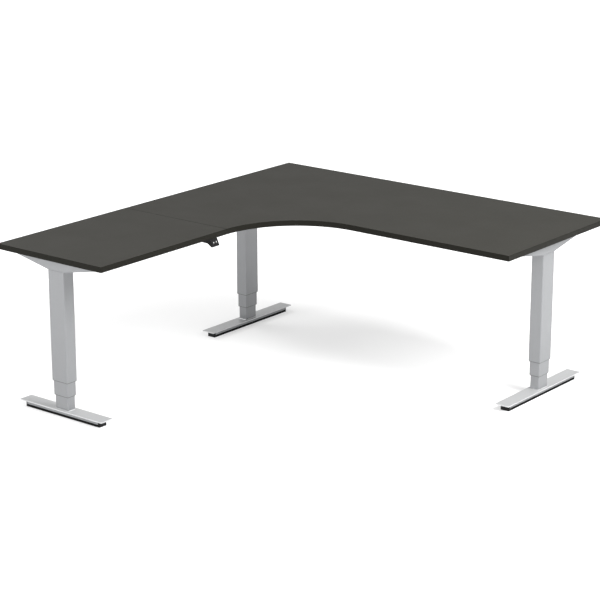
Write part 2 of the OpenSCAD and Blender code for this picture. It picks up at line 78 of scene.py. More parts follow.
class Finish:
    """A procedural material: one Principled shader and the nodes that vary it over a surface."""

    def __init__(self, name, constants):
        self.material = bpy.data.materials.new(name)
        self.material.use_nodes = True
        self.tree = self.material.node_tree
        self.tree.nodes.clear()
        self.shader = self.tree.nodes.new("ShaderNodeBsdfPrincipled")
        output = self.tree.nodes.new("ShaderNodeOutputMaterial")
        self.tree.links.new(self.shader.outputs["BSDF"], output.inputs["Surface"])
        for socket_name, value in constants.items():
            self.shader.inputs[socket_name].default_value = value
        self.place = self.node("ShaderNodeTexCoord", {}, {}, "Object")

    def node(self, kind, settings, inputs, output=0):
        """Adds a node: its settings first, then the values or links of its sockets."""
        made = self.tree.nodes.new(kind)
        for key, value in settings.items():
            if key == "stops":
                while len(made.color_ramp.elements) < len(value):
                    made.color_ramp.elements.new(0.5)
                for stop, (at, grey) in zip(made.color_ramp.elements, value):
                    stop.position = at
                    stop.color = (grey, grey, grey, 1)
            else:
                setattr(made, key, value)
        for key, value in inputs.items():
            if isinstance(value, Signal):
                self.tree.links.new(value.socket, made.inputs[key])
            else:
                made.inputs[key].default_value = value
        return Signal(self, made.outputs[output])

    def noise(self, waves, detail, stretch=(1, 1, 1)):
        """Noise with that many waves in a metre, longer along an axis whose stretch is below 1."""
        at = self.node("ShaderNodeMapping", {}, {"Vector": self.place, "Scale": stretch})
        return self.node("ShaderNodeTexNoise", {}, {"Vector": at, "Scale": waves, "Detail": detail})

    def ramp(self, signal, stops):
        return self.node("ShaderNodeValToRGB", {"stops": stops}, {"Fac": signal})

    def mix(self, amount, first, second):
        """A colour between two colours: a Mix node keeps those in its sockets 6 and 7, and gives its 2."""
        inputs = {0: amount, 6: (*first, 1), 7: (*second, 1)}
        return self.node("ShaderNodeMix", {"data_type": "RGBA"}, inputs, 2)

    def vary(self, amount, colour, darkest, lightest):
        """A colour that goes from a darker to a lighter shade of itself."""
        darker = [c * darkest for c in colour]
        lighter = [c * lightest for c in colour]
        return self.mix(amount, darker, lighter)

    def bump(self, height, depth):
        """A normal from a height of 0 to 1 that stands for that depth in metres."""
        return self.node("ShaderNodeBump", {}, {"Distance": depth, "Height": height}, "Normal")

    def drive(self, socket_name, signal):
        self.tree.links.new(signal.socket, self.shader.inputs[socket_name])


def moulded_plastic(name, colour, roughness, specular=0.3):
    """Moulded plastic: an even spark grain and faint handling marks."""
    made = Finish(name, {"IOR": 1.5, "Specular IOR Level": specular})
    made.drive("Base Color", made.vary(made.noise(waves=30, detail=4), colour, 0.8, 1.2))
    made.drive("Roughness", roughness - 0.08 + 0.16 * made.noise(waves=60, detail=4))
    made.drive("Normal", made.bump(made.noise(waves=1400, detail=2), depth=0.00005))
    return made.material


def block(shape, size, base):
    """Adds a box of that size, which stands on the point base by the middle of its underside."""
    made = bmesh.ops.create_cube(shape, size=1)["verts"]
    bmesh.ops.scale(shape, vec=size, verts=made)
    bmesh.ops.translate(shape, vec=(base[0], base[1], base[2] + size[2] / 2), verts=made)


NEAR = 1e-5


def pick(shape, test):
    """The edges of a shape whose two ends pass a test."""
    return [e for e in shape.edges if test(e.verts[0].co, e.verts[1].co)]


def upright(a, b):
    return abs(a.x - b.x) + abs(a.y - b.y) < NEAR


def at_height(z):
    return lambda a, b: abs(a.z - z) + abs(b.z - z) < NEAR


def lengthwise(run):
    return lambda a, b: abs(a.y - b.y) > run / 2


def round_off(shape, edges, radius, segments):
    """Rounds edges off to a radius, in that many facets."""
    bmesh.ops.bevel(
        shape, geom=edges, offset=radius, offset_type="OFFSET", affect="EDGES",
        segments=segments, profile=0.5, material=-1, clamp_overlap=True,
    )


SHARP_ANGLE = 40


def finished(name, shape, material, body, replaced=(), spot=None):
    """Makes a piece of a shape: in its place, shaded, riding on its body, shown for CAD nodes."""
    if spot:
        bmesh.ops.transform(shape, matrix=spot, verts=shape.verts)
    bmesh.ops.recalc_face_normals(shape, faces=shape.faces)
    mesh = bpy.data.meshes.new(name)
    shape.to_mesh(mesh)
    shape.free()
    mesh.polygons.foreach_set("use_smooth", [True] * len(mesh.polygons))
    mesh.set_sharp_from_angle(angle=math.radians(SHARP_ANGLE))
    mesh.materials.append(material)
    piece = bpy.data.objects.new(name, mesh)
    bpy.context.scene.collection.objects.link(piece)
    piece.modifiers.new("keep_flats_flat", "WEIGHTED_NORMAL").keep_sharp = True
    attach(piece, body)
    if replaced:
        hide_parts(*replaced)
    return piece


# Each leg has its own frame, in which X runs along the rails and Y along the foot
LEGS = {}
FOOT_LENGTH = {}
for leg, turn in (("left", 90), ("corner", 0), ("right", 180)):
    low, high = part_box("foot_plate_" + leg)
    middle = (low + high) / 2
    heading = Matrix.Rotation(math.radians(turn), 4, "Z")
    LEGS[leg] = Matrix.Translation((middle.x, middle.y, 0)) @ heading
    FOOT_LENGTH[leg] = max(high.x - low.x, high.y - low.y)

OVERHANG = 0.032
STRIP_W = 0.044
STRIP_H = 0.012
STRIP_EDGE = 0.0012
TONGUE_W = 0.036
TONGUE_H = 0.003

black_rubber = moulded_plastic("black_rubber", (0.003, 0.003, 0.003), 0.6, 0.06)

for leg, spot in LEGS.items():
    run = FOOT_LENGTH[leg] - 2 * OVERHANG
    strip = bmesh.new()
    block(strip, (STRIP_W, run, STRIP_H), (0, 0, 0))
    round_off(strip, pick(strip, lengthwise(run)), radius=STRIP_EDGE, segments=2)
    block(strip, (TONGUE_W, run, TONGUE_H), (0, 0, STRIP_H))
    name = "base_strip_" + leg
    finished(name + "_rubber", strip, black_rubber, leg + "_base", [name], spot)

# --- Foot end caps -------------------------------------------------------------------------------
# Moulded black plastic caps close both ends of each foot, under the plate's overhang. Each has
# round outer corners and a plug that is pressed into the channel.

CAP_L = 0.008
CHANNEL_TOP = 0.0275
CAP_CORNER = 0.004
CAP_EDGE = 0.0007
PLUG = Vector((TONGUE_W, 0.010, 0.0085))
PLUG_Z = 0.016

black_plastic = moulded_plastic("black_plastic", (0.005, 0.005, 0.0052), 0.40, 0.15)

for leg, spot in LEGS.items():
    caps = bmesh.new()
    start = FOOT_LENGTH[leg] / 2 - OVERHANG
    for end in (1, -1):
        block(caps, (STRIP_W, CAP_L, CHANNEL_TOP), (0, end * (start + CAP_L / 2), 0))
        block(caps, PLUG, (0, end * (start - PLUG.y / 2), PLUG_Z))
    tip = start + CAP_L
    corners = [e for e in pick(caps, upright) if abs(e.verts[0].co.y) > tip - NEAR]
    round_off(caps, corners, radius=CAP_CORNER, segments=5)
    rims = pick(caps, lambda a, b: at_height(CHANNEL_TOP)(a, b) or at_height(0)(a, b))
    round_off(caps, rims, radius=CAP_EDGE, segments=2)
    name = "foot_end_caps_" + leg
    finished(name + "_moulded", caps, black_plastic, leg + "_base", [name], spot)

# --- Foot channels -------------------------------------------------------------------------------
# Under each foot plate runs a steel channel, open below. It is roll formed, with a groove along
# each side where it meets the plate, and is welded to the plate and powder coated with it. Its
# coat is given a darker colour than the plate's: painted shade, for the shadow under the plate's
# overhang.


def powder_coat(name, colour, metallic, roughness):
    """Silver powder coat: metal flake under a clear film with a very fine orange peel."""
    made = Finish(name, {"Metallic": metallic, "IOR": 1.5})
    flake = made.ramp(made.noise(waves=2600, detail=2), [(0.38, 0.0), (0.62, 1.0)])
    cloud = made.noise(waves=7, detail=3)
    made.drive("Base Color", made.vary(0.7 * flake + 0.3 * cloud, colour, 0.93, 1.07))
    made.drive("Roughness", roughness - 0.05 + 0.07 * made.noise(waves=45, detail=3) + 0.03 * flake)
    made.drive("Normal", made.bump(made.noise(waves=750, detail=3), depth=0.000035))
    return made.material


def drawn(shape, profile, start, length):
    """A profile in X and Z, drawn out along Y."""
    corners = [shape.verts.new((x, start, z)) for x, z in profile]
    face = shape.faces.new(corners)
    grown = bmesh.ops.extrude_face_region(shape, geom=[face])["geom"]
    far = [g for g in grown if isinstance(g, bmesh.types.BMVert)]
    bmesh.ops.translate(shape, vec=(0, length, 0), verts=far)


SHEET_T = 0.003
CHANNEL_SIDE = 0.023
CHANNEL_EDGE = 0.0008
GROOVE_SIDE = 0.0195
GROOVE_LOW = 0.0215
BORE_SIDE = TONGUE_W / 2
BORE_HIGH = CHANNEL_TOP - SHEET_T
CHANNEL_PROFILE = [
    (CHANNEL_SIDE, STRIP_H), (CHANNEL_SIDE, GROOVE_LOW),
    (GROOVE_SIDE, GROOVE_LOW), (GROOVE_SIDE, CHANNEL_TOP),
    (-GROOVE_SIDE, CHANNEL_TOP), (-GROOVE_SIDE, GROOVE_LOW),
    (-CHANNEL_SIDE, GROOVE_LOW), (-CHANNEL_SIDE, STRIP_H),
    (-BORE_SIDE, STRIP_H), (-BORE_SIDE, BORE_HIGH),
    (BORE_SIDE, BORE_HIGH), (BORE_SIDE, STRIP_H),
]

# Painted shade: the plate's powder coat made darker, for the shadow under the plate's overhang
channel_coat_painted_shade = powder_coat("channel_powder_coat_painted_shade", (0.20, 0.204, 0.21), 0.4, 0.45)

for leg, spot in LEGS.items():
    run = FOOT_LENGTH[leg] - 2 * OVERHANG
    channel = bmesh.new()
    drawn(channel, CHANNEL_PROFILE, -run / 2, run)
    outer = [e for e in pick(channel, lengthwise(run)) if abs(e.verts[0].co.x) > CHANNEL_SIDE - NEAR]
    round_off(channel, outer, radius=CHANNEL_EDGE, segments=2)
    name = "foot_channel_" + leg
    finished(name + "_coated", channel, channel_coat_painted_shade, leg + "_base", [name], spot)

# --- Foot plates ---------------------------------------------------------------------------------
# The top of each foot is a flat steel bar, laser cut with eased corners and edges. It runs past
# the channel at both ends and carries the column's inner tube.

FOOT_W = 0.070
FOOT_TOP = 0.032
PLATE_T = 0.0045
PLATE_CORNER = 0.002
PLATE_TOP_EDGE = 0.0009
PLATE_LOW_EDGE = 0.0005

foot_coat = powder_coat("foot_powder_coat", (0.52, 0.525, 0.53), 0.55, 0.31)

for leg, spot in LEGS.items():
    plate = bmesh.new()
    block(plate, (FOOT_W, FOOT_LENGTH[leg], PLATE_T), (0, 0, FOOT_TOP - PLATE_T))
    round_off(plate, pick(plate, upright), radius=PLATE_CORNER, segments=4)
    round_off(plate, pick(plate, at_height(FOOT_TOP)), radius=PLATE_TOP_EDGE, segments=3)
    round_off(plate, pick(plate, at_height(FOOT_TOP - PLATE_T)), radius=PLATE_LOW_EDGE, segments=2)
    name = "foot_plate_" + leg
    finished(name + "_coated", plate, foot_coat, leg + "_base", [name], spot)

# --- Inner tubes ---------------------------------------------------------------------------------
# The inner stage of each column is a rectangular steel tube with round corners, powder coated
# silver. It is fillet welded to the foot plate all round.

TUBE_L = 0.092
TUBE_W = 0.060
STAGE_STEP = 0.008
TUBE_WALL = 0.0025
TUBE_CORNER = 0.004
CUT_EDGE = 0.0006
WELD = 0.0022


def tube(width, length, low, high, corner, wall, eased):
    """A rectangular tube with round corners and its cut ends eased."""
    shape = bmesh.new()
    block(shape, (width, length, high - low), (0, 0, low))
    round_off(shape, pick(shape, upright), radius=corner, segments=5)
    for z in (low, high):
        round_off(shape, pick(shape, at_height(z)), radius=eased, segments=2)
    half = (high - low) / 2
    ends = [f for f in shape.faces if abs(f.calc_center_median().z - low - half) > half - NEAR]
    bmesh.ops.inset_individual(shape, faces=ends, thickness=wall - eased, use_even_offset=True)
    bore = [e for f in ends for e in f.edges]
    bmesh.ops.delete(shape, geom=ends, context="FACES_ONLY")
    bmesh.ops.bridge_loops(shape, edges=bore)
    return shape


def stage_size(stage):
    """A tube's width and length: stage 0 is the outer tube, and 2 the inner one."""
    return TUBE_W - stage * STAGE_STEP, TUBE_L - stage * STAGE_STEP


def stage_tube(name, stage):
    """One stage of a column, between the heights of its CAD piece."""
    low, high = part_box(name)
    return tube(*stage_size(stage), low.z, high.z, TUBE_CORNER, TUBE_WALL, CUT_EDGE)


silver_coat = powder_coat("silver_powder_coat", (0.218, 0.222, 0.228), 0.5, 0.36)
INNER_W, INNER_L = stage_size(2)

for leg, spot in LEGS.items():
    name = "inner_tube_" + leg
    inner = stage_tube(name, 2)
    finished(name + "_coated", inner, silver_coat, leg + "_base", [name], spot)
    weld = bmesh.new()
    weld_w, weld_l = INNER_W + 2 * WELD, INNER_L + 2 * WELD
    block(weld, (weld_w, weld_l, WELD), (0, 0, FOOT_TOP))
    round_off(weld, pick(weld, upright), radius=TUBE_CORNER + WELD, segments=5)
    upper = [v for v in weld.verts if v.co.z > FOOT_TOP + WELD / 2]
    bmesh.ops.scale(weld, vec=(INNER_W / weld_w, INNER_L / weld_l, 1), verts=upper)
    finished("foot_weld_" + leg, weld, foot_coat, leg + "_base", (), spot)

# --- Lower nuts and lower screws -----------------------------------------------------------------
# Inside each inner tube a plain bronze nut is pressed in under its top. The hollow lower screw
# is rolled and zinc plated steel; it runs through the nut and hangs in the middle tube.

THREAD_PITCH = 0.0025
# The wave length of a Wave node whose scale is 1, in metres
WAVE_UNIT = 2 * math.pi / 20


def drive_metal(name, colour, roughness, pitch=None):
    """Bare machined metal with fine turning marks, and a rolled thread where it has a pitch."""
    made = Finish(name, {"Metallic": 1.0})
    made.drive("Base Color", made.vary(made.noise(waves=60, detail=4), colour, 0.88, 1.06))
    made.drive("Roughness", roughness - 0.06 + 0.12 * made.noise(waves=220, detail=3, stretch=(1, 1, 0.1)))
    if pitch:
        bands = {"Vector": made.place, "Scale": WAVE_UNIT / pitch}
        settings = {"wave_type": "BANDS", "bands_direction": "Z"}
        thread = made.node("ShaderNodeTexWave", settings, bands, "Fac")
        made.drive("Normal", made.bump(thread, depth=0.0010))
    else:
        made.drive("Normal", made.bump(made.noise(waves=900, detail=2, stretch=(1, 1, 0.15)), depth=0.00002))
    return made.material


def dress(node, material):
    """Gives a CAD piece that is right as it stands its material."""
    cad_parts[node].data.materials.clear()
    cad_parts[node].data.materials.append(material)


nut_bronze = drive_metal("nut_bronze", (0.60, 0.40, 0.18), 0.36)
rolled_thread = drive_metal("rolled_screw_thread", (0.58, 0.58, 0.58), 0.3, THREAD_PITCH)
for leg in LEGS:
    dress("lower_nut_" + leg, nut_bronze)
    dress("lower_screw_" + leg, rolled_thread)

# --- Middle glides and middle tubes --------------------------------------------------------------
# The middle stage slides over the inner tube on a sleeve of dark grey low friction plastic. The
# sleeve is pressed into the tube's lower end, and its flange shows as a thin line below the tube.
# The plastic is coloured near black, darker than its own grey: partly painted shade, for the
# shadow under the tube's end along that line.

FLANGE_T = 0.002
FLANGE_IN = 0.001
FLANGE_CORNER = 0.003
FLANGE_EDGE = 0.0003
SLEEVE_H = 0.030
SLEEVE_CORNER = 0.0025
SLEEVE_EDGE = 0.0002
SLEEVE_FIT = 0.00005
SLEEVE_LIFT = 0.00001
GLIDE_SLACK = 0.0002

# Partly painted shade: near black, darker than the plastic's own dark grey, for the shadow under each tube's
# end
glide_plastic = moulded_plastic("glide_plastic", (0.035, 0.036, 0.038), 0.45)


def add(shape, part):
    """Adds a second shape to a first."""
    carrier = bpy.data.meshes.new("carrier")
    part.to_mesh(carrier)
    part.free()
    shape.from_mesh(carrier)
    bpy.data.meshes.remove(carrier)


def glide(stage, base):
    """A glide's flange under a tube and its sleeve inside it, both round the next tube in."""
    width, length = stage_size(stage)
    longer = length - width
    bore = width - STAGE_STEP + 2 * GLIDE_SLACK
    flange = width - 2 * FLANGE_IN
    top = base + FLANGE_T
    shape = tube(flange, flange + longer, base, top, FLANGE_CORNER, (flange - bore) / 2, FLANGE_EDGE)
    sleeve = width - 2 * TUBE_WALL - 2 * SLEEVE_FIT
    add(shape, tube(sleeve, sleeve + longer, top + SLEEVE_LIFT, top + SLEEVE_H, SLEEVE_CORNER,
                    (sleeve - bore) / 2, SLEEVE_EDGE))
    return shape


for leg, spot in LEGS.items():
    name = "middle_glide_" + leg
    middle_glide = glide(1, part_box(name)[0].z)
    finished(name + "_moulded", middle_glide, glide_plastic, leg + "_stage", [name], spot)
    name = "middle_tube_" + leg
    middle_tube = stage_tube(name, 1)
    finished(name + "_coated", middle_tube, silver_coat, leg + "_stage", [name], spot)
    dress("upper_nut_" + leg, nut_bronze)

# --- Outer glides and outer tubes ----------------------------------------------------------------
# The outer tube of each column is the longest and widest of the three, and hangs from the arm.
# It has a glide of the same plastic, pressed in at its foot.

outer_glides = bmesh.new()
for leg, spot in LEGS.items():
    outer_glide = glide(0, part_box("outer_glides")[0].z)
    bmesh.ops.transform(outer_glide, matrix=spot, verts=outer_glide.verts)
    add(outer_glides, outer_glide)
    name = "outer_tube_" + leg
    outer_tube = stage_tube(name, 0)
    finished(name + "_coated", outer_tube, silver_coat, "worktop", [name], spot)
finished("outer_glides_moulded", outer_glides, glide_plastic, "worktop", ["outer_glides"])

# --- Gear housings and upper screws --------------------------------------------------------------
# A die cast aluminium gear housing sits on each column, inside the arm. The upper screw hangs
# from it, keyed all along, and turns the hollow screw below it.

GEAR_W = 0.050
GEAR_CORNER = 0.0025
RIB = Vector((0.003, 0.002, 0.030))
RIB_PROUD = 0.001
RIB_STEP = 0.012
FOLD_ANGLE = 0.3


def merged_copy(node, spot=None):
    """A CAD piece's skin as one closed mesh with whole flat faces, in a leg's frame if one is given."""
    shape = bmesh.new()
    shape.from_mesh(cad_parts[node].data)
    bmesh.ops.remove_doubles(shape, verts=shape.verts, dist=2e-6)
    bmesh.ops.dissolve_limit(shape, angle_limit=math.radians(0.5), verts=shape.verts, edges=shape.edges)
    if spot:
        bmesh.ops.transform(shape, matrix=spot.inverted(), verts=shape.verts)
    return shape


def is_fold(edge, least):
    """True for an edge over that least length where two faces meet at an angle outwards."""
    paired = len(edge.link_faces) == 2
    return paired and edge.calc_length() > least and edge.calc_face_angle_signed() > FOLD_ANGLE


die_cast = drive_metal("die_cast_aluminium", (0.62, 0.62, 0.62), 0.5)
for leg, spot in LEGS.items():
    name = "gear_housing_" + leg
    housing = merged_copy(name, spot)
    edges = [e for e in housing.edges if is_fold(e, least=0.02)]
    round_off(housing, edges, radius=GEAR_CORNER, segments=3)
    low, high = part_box(name)
    end_y = max(high.x - low.x, high.y - low.y) / 2
    foot_z = (low.z + high.z - RIB.z) / 2
    for x in (-RIB_STEP, 0, RIB_STEP):
        for side in (-1, 1):
            block(housing, RIB, (x, side * (end_y + RIB_PROUD - RIB.y / 2), foot_z))
    finished(name + "_cast", housing, die_cast, "worktop", [name], spot)
    dress("upper_screw_" + leg, rolled_thread)

# --- Lift motors ---------------------------------------------------------------------------------
# Each motor is a drawn steel can with crimped ends and a smaller end bell, painted black. It lies
# between the rails with its spigot in the gear housing.

SPIGOT_L = 0.005
MOTOR_FACETS = 48
# The distance from the spigot's tip, and the radius there
MOTOR_PROFILE = [
    (0.0, 0.0), (0.0, 0.0159), (0.0050, 0.0159), (0.0050, 0.0188), (0.0062, 0.0200),
    (0.0110, 0.0200), (0.0118, 0.0194), (0.0140, 0.0194), (0.0148, 0.0200), (0.1090, 0.0200),
    (0.1098, 0.0194), (0.1120, 0.0194), (0.1128, 0.0200), (0.1198, 0.0200), (0.1210, 0.0188),
    (0.1210, 0.0170), (0.1235, 0.0170), (0.1252, 0.0155), (0.1260, 0.0060), (0.1260, 0.0),
]


def turned(shape, profile, centre, steps):
    """A profile of X and radius, turned about an axis along X."""
    line = [shape.verts.new((x, 0, radius)) for x, radius in profile]
    path = [shape.edges.new(pair) for pair in zip(line, line[1:])]
    bmesh.ops.spin(shape, geom=line + path, cent=(0, 0, 0), axis=(1, 0, 0), angle=2 * math.pi,
                   steps=steps, use_merge=True)
    bmesh.ops.remove_doubles(shape, verts=shape.verts, dist=1e-6)
    bmesh.ops.translate(shape, vec=centre, verts=shape.verts)


motor_paint = Finish("black_motor_paint", {"IOR": 1.5})
brushed = motor_paint.noise(waves=120, detail=3, stretch=(6, 1, 1))
motor_paint.drive("Base Color", motor_paint.mix(brushed, (0.018, 0.018, 0.019), (0.032, 0.032, 0.033)))
motor_paint.drive("Roughness", 0.3 + 0.12 * motor_paint.noise(waves=50, detail=3))
motor_paint.drive("Normal", motor_paint.bump(motor_paint.noise(waves=600, detail=2), depth=0.00004))

for leg, spot in LEGS.items():
    name = "motor_" + leg
    low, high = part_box(name)
    motor = bmesh.new()
    turned(motor, MOTOR_PROFILE, (GEAR_W / 2 - SPIGOT_L, 0, (low.z + high.z) / 2), MOTOR_FACETS)
    finished(name + "_can", motor, motor_paint.material, "worktop", [name], spot)

# --- Support arms --------------------------------------------------------------------------------
# Each arm is folded from 3 mm sheet steel and tapers from the column out to both tips. Its seams
# are welded and ground flush, and it is powder coated with its column.

FOLD = 0.0015

for leg, spot in LEGS.items():
    name = "support_arm_" + leg
    arm = merged_copy(name, spot)
    arm_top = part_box(name)[1].z
    folds = []
    for edge in arm.edges:
        on_side = all(abs(abs(v.co.x) - TUBE_W / 2) < NEAR for v in edge.verts)
        on_top = all(v.co.z > arm_top - NEAR for v in edge.verts)
        if on_side and not on_top and is_fold(edge, least=0.02):
            folds.append(edge)
    round_off(arm, folds, radius=FOLD, segments=4)
    finished(name + "_folded", arm, silver_coat, "worktop", [name], spot)

# --- Rails ---------------------------------------------------------------------------------------
# Two pairs of rails tie the arms together: upside down U sections, roll formed from 3 mm steel,
# with a bolt tab welded across each end. They are powder coated like the arms.

RAIL_FOLD = 0.001

for name in ("wing_rails", "return_rails"):
    rails = merged_copy(name)
    long_edges = [e for e in rails.edges if is_fold(e, least=0.2)]
    round_off(rails, long_edges, radius=RAIL_FOLD, segments=2)
    finished(name + "_coated", rails, silver_coat, "worktop", [name])

# --- Frame bolts ---------------------------------------------------------------------------------
# Zinc plated bolts and hexagon nuts hold the rails' tabs to the arms and to the wing rails.
# The cut corners of heads and nuts are eased.

BOLT_EDGE = 0.0004

zinc_steel = Finish("zinc_plated_steel", {"Metallic": 1.0})
cells = {"Vector": zinc_steel.place, "Scale": 380}
spangle = zinc_steel.node("ShaderNodeTexVoronoi", {"feature": "F1"}, cells, "Distance")
tarnish = zinc_steel.noise(waves=90, detail=4)
zinc_steel.drive("Base Color", zinc_steel.mix(tarnish, (0.50, 0.51, 0.53), (0.66, 0.66, 0.65)))
zinc_steel.drive("Roughness", 0.28 + 0.2 * spangle + 0.1 * zinc_steel.noise(waves=160, detail=2))
zinc_steel.drive("Normal", zinc_steel.bump(zinc_steel.noise(waves=1100, detail=2), depth=0.00002))

bolts = merged_copy("frame_bolts")
cut_corners = [e for e in bolts.edges if is_fold(e, least=0.0001)]
round_off(bolts, cut_corners, radius=BOLT_EDGE, segments=2)
finished("frame_bolts_plated", bolts, zinc_steel.material, "worktop", ["frame_bolts"])

# --- Worktops ------------------------------------------------------------------------------------
# Both worktops are 25 mm chipboard faced with matt dark grey laminate: a corner top cut with one
# large inner curve, and a straight top that meets it at a butt seam.

TOP_LOW, TOP_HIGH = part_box("main_edge_band")
END_LOW, END_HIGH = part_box("return_edge_band")
BAND_T = 0.002
BAND_ROUND = 0.0009
INNER_R = 0.390
CURVE_STEPS = 60

INNER_X = END_HIGH.x
FRONT_Y = TOP_LOW.y + INNER_R
CORNER_TOP = [
    (INNER_X, TOP_LOW.y), (TOP_LOW.x, TOP_LOW.y), (TOP_LOW.x, TOP_HIGH.y),
    (TOP_HIGH.x, TOP_HIGH.y), (TOP_HIGH.x, FRONT_Y), (INNER_X + INNER_R, FRONT_Y),
]
STRAIGHT_TOP = [
    (END_LOW.x, END_LOW.y), (END_LOW.x, END_HIGH.y), (END_HIGH.x, END_HIGH.y), (END_HIGH.x, END_LOW.y),
]


def board(corners, curved, banded):
    """A worktop's panel, or the band round it. A mark on each point tells the outline from the rest."""
    shape = bmesh.new()
    outline = shape.verts.layers.int.new("outline")
    line = [shape.verts.new((x, y, TOP_LOW.z)) for x, y in corners]
    for pair in zip(line, line[1:]):
        shape.edges.new(pair)
    if curved:
        bmesh.ops.spin(shape, geom=[line[-1]], cent=(INNER_X + INNER_R, TOP_LOW.y, TOP_LOW.z),
                       axis=(0, 0, 1), angle=math.pi / 2, steps=CURVE_STEPS)
        bmesh.ops.remove_doubles(shape, verts=shape.verts, dist=1e-6)
    else:
        shape.edges.new((line[-1], line[0]))
    panel = bmesh.ops.contextual_create(shape, geom=list(shape.edges))["faces"]
    for corner in shape.verts:
        corner[outline] = 1
    band = bmesh.ops.inset_region(shape, faces=panel, thickness=BAND_T, use_boundary=True,
                                  use_even_offset=True)["faces"]
    for corner in {v for f in panel for v in f.verts}:
        corner[outline] = 0
    bmesh.ops.delete(shape, geom=panel if banded else band, context="FACES")
    grown = bmesh.ops.extrude_face_region(shape, geom=list(shape.faces))["geom"]
    top = [g for g in grown if isinstance(g, bmesh.types.BMVert)]
    bmesh.ops.translate(shape, vec=(0, 0, TOP_HIGH.z - TOP_LOW.z), verts=top)
    if banded:
        rim = [e for e in shape.edges if all(v[outline] for v in e.verts)]
        rim = [e for e in rim if abs(e.verts[0].co.z - e.verts[1].co.z) < NEAR]
        round_off(shape, rim, radius=BAND_ROUND, segments=3)
    shape.verts.layers.int.remove(shape.verts.layers.int["outline"])
    return shape


def laminate_finish(name, colour, roughness, specular):
    """Matt laminate: a fine pebble texture, a faint fleck, and the slight cloud of wiped surfaces."""
    made = Finish(name, {"IOR": 1.5, "Specular IOR Level": specular})
    fleck = made.ramp(made.noise(waves=1300, detail=3), [(0.35, 0.0), (0.65, 1.0)])
    cloud = made.noise(waves=2.2, detail=4)
    made.drive("Base Color", made.vary(0.55 * fleck + 0.45 * cloud, colour, 0.93, 1.07))
    wiped = made.noise(waves=5, detail=5)
    made.drive("Roughness", roughness - 0.06 + 0.08 * wiped + 0.04 * made.noise(waves=160, detail=2))
    made.drive("Normal", made.bump(made.noise(waves=1500, detail=2), depth=0.00003))
    return made.material


laminate = laminate_finish("dark_grey_laminate", (0.0185, 0.0176, 0.0138), 0.50, 0.15)
for name, corners, curved in (("main_top", CORNER_TOP, True), ("return_top", STRAIGHT_TOP, False)):
    finished(name + "_laminate", board(corners, curved, False), laminate, "worktop", [name])

# --- Edge bands ----------------------------------------------------------------------------------
# A 2 mm plastic band, darker than the laminate, is glued on all round each worktop by machine.
# Its outer edges are rounded by the trimmer.

band_plastic = laminate_finish("dark_edge_band", (0.0072, 0.0068, 0.0048), 0.45, 0.08)
for name, corners, curved in (
    ("main_edge_band", CORNER_TOP, True), ("return_edge_band", STRAIGHT_TOP, False)
):
    finished(name + "_glued", board(corners, curved, True), band_plastic, "worktop", [name])

# --- Seam plates ---------------------------------------------------------------------------------
# Two flat zinc plated plates bridge the seam from below. They are stamped from 3 mm steel, and
# their outer edges are tumbled smooth.

SEAM_PLATE_EDGE = 0.0005

plates = merged_copy("seam_plates")
outer_edges = [e for e in plates.edges if is_fold(e, least=0.05)]
round_off(plates, outer_edges, radius=SEAM_PLATE_EDGE, segments=2)
finished("seam_plates_plated", plates, zinc_steel.material, "worktop", ["seam_plates"])

# --- Wood screws ---------------------------------------------------------------------------------
# Chipboard screws go up through arms, rails and seam plates into the worktops. Each is zinc
# plated, with a domed head and a round ended socket for the driver.

SCREW_FACETS = 12
# The height above the head's seat, and the radius there
SCREW_PROFILE = [
    (-0.0012, 0.0), (-0.0012, 0.0013), (-0.0025, 0.0015), (-0.0021, 0.0029), (-0.0012, 0.0040),
    (-0.0003, 0.0045), (0.0, 0.0045), (0.0, 0.0020), (0.0140, 0.0020), (0.0170, 0.0003), (0.0170, 0.0),
]


def islands(shape):
    """The separate solids of a shape, each as its vertices."""
    left = set(shape.verts)
    while left:
        reached = [left.pop()]
        for vert in reached:
            for edge in vert.link_edges:
                other = edge.other_vert(vert)
                if other in left:
                    left.remove(other)
                    reached.append(other)
        yield reached


def middle_of(solid, axis):
    return (min(v.co[axis] for v in solid) + max(v.co[axis] for v in solid)) / 2


packed_screws = merged_copy("wood_screws")
places = [(middle_of(solid, 0), middle_of(solid, 1)) for solid in islands(packed_screws)]
packed_screws.free()
screws = bmesh.new()
turned(screws, SCREW_PROFILE, (0, 0, 0), SCREW_FACETS)
upwards = Matrix.Rotation(-math.pi / 2, 3, "Y")
bmesh.ops.rotate(screws, cent=(0, 0, 0), matrix=upwards, verts=screws.verts)
pattern_points = list(screws.verts)
pattern = pattern_points + list(screws.edges) + list(screws.faces)
seat = TOP_LOW.z - SHEET_T
for x, y in sorted(places):
    made = bmesh.ops.duplicate(screws, geom=pattern)["geom"]
    points = [g for g in made if isinstance(g, bmesh.types.BMVert)]
    bmesh.ops.translate(screws, vec=(x, y, seat), verts=points)
bmesh.ops.delete(screws, geom=pattern_points, context="VERTS")
finished("wood_screws_plated", screws, zinc_steel.material, "worktop", ["wood_screws"])

# --- Control box ---------------------------------------------------------------------------------
# The drive electronics sit in a two part black plastic box, screwed up against the underside.
# Four sockets for the motors and the handset open at one end, and the mains inlet is at the other.

BOX_LOW, BOX_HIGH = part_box("control_box")
BOX_EDGE = 0.0025
PIN = Vector((0.0106, 0.0021, 0.0051))
PIN_STEP = 0.007
PIN_IN = 0.0093
VENT_RIB = Vector((0.0024, 0.060, 0.0008))
VENT_RIBS = 8
VENT_STEP = 0.006
VENT_Y = 0.050


def on_box_edge(vert):
    """True for a point on an outer edge of the box, and not on one of its openings."""
    reach = [min(abs(vert.co[i] - BOX_LOW[i]), abs(vert.co[i] - BOX_HIGH[i])) for i in range(3)]
    return sum(distance < NEAR for distance in reach) > 1


box = merged_copy("control_box")
shell = [e for e in box.edges if is_fold(e, least=0.03) and all(on_box_edge(v) for v in e.verts)]
round_off(box, shell, radius=BOX_EDGE, segments=3)
finished("control_box_moulded", box, black_plastic, "worktop", ["control_box"])
dress("power_inlet", black_plastic)

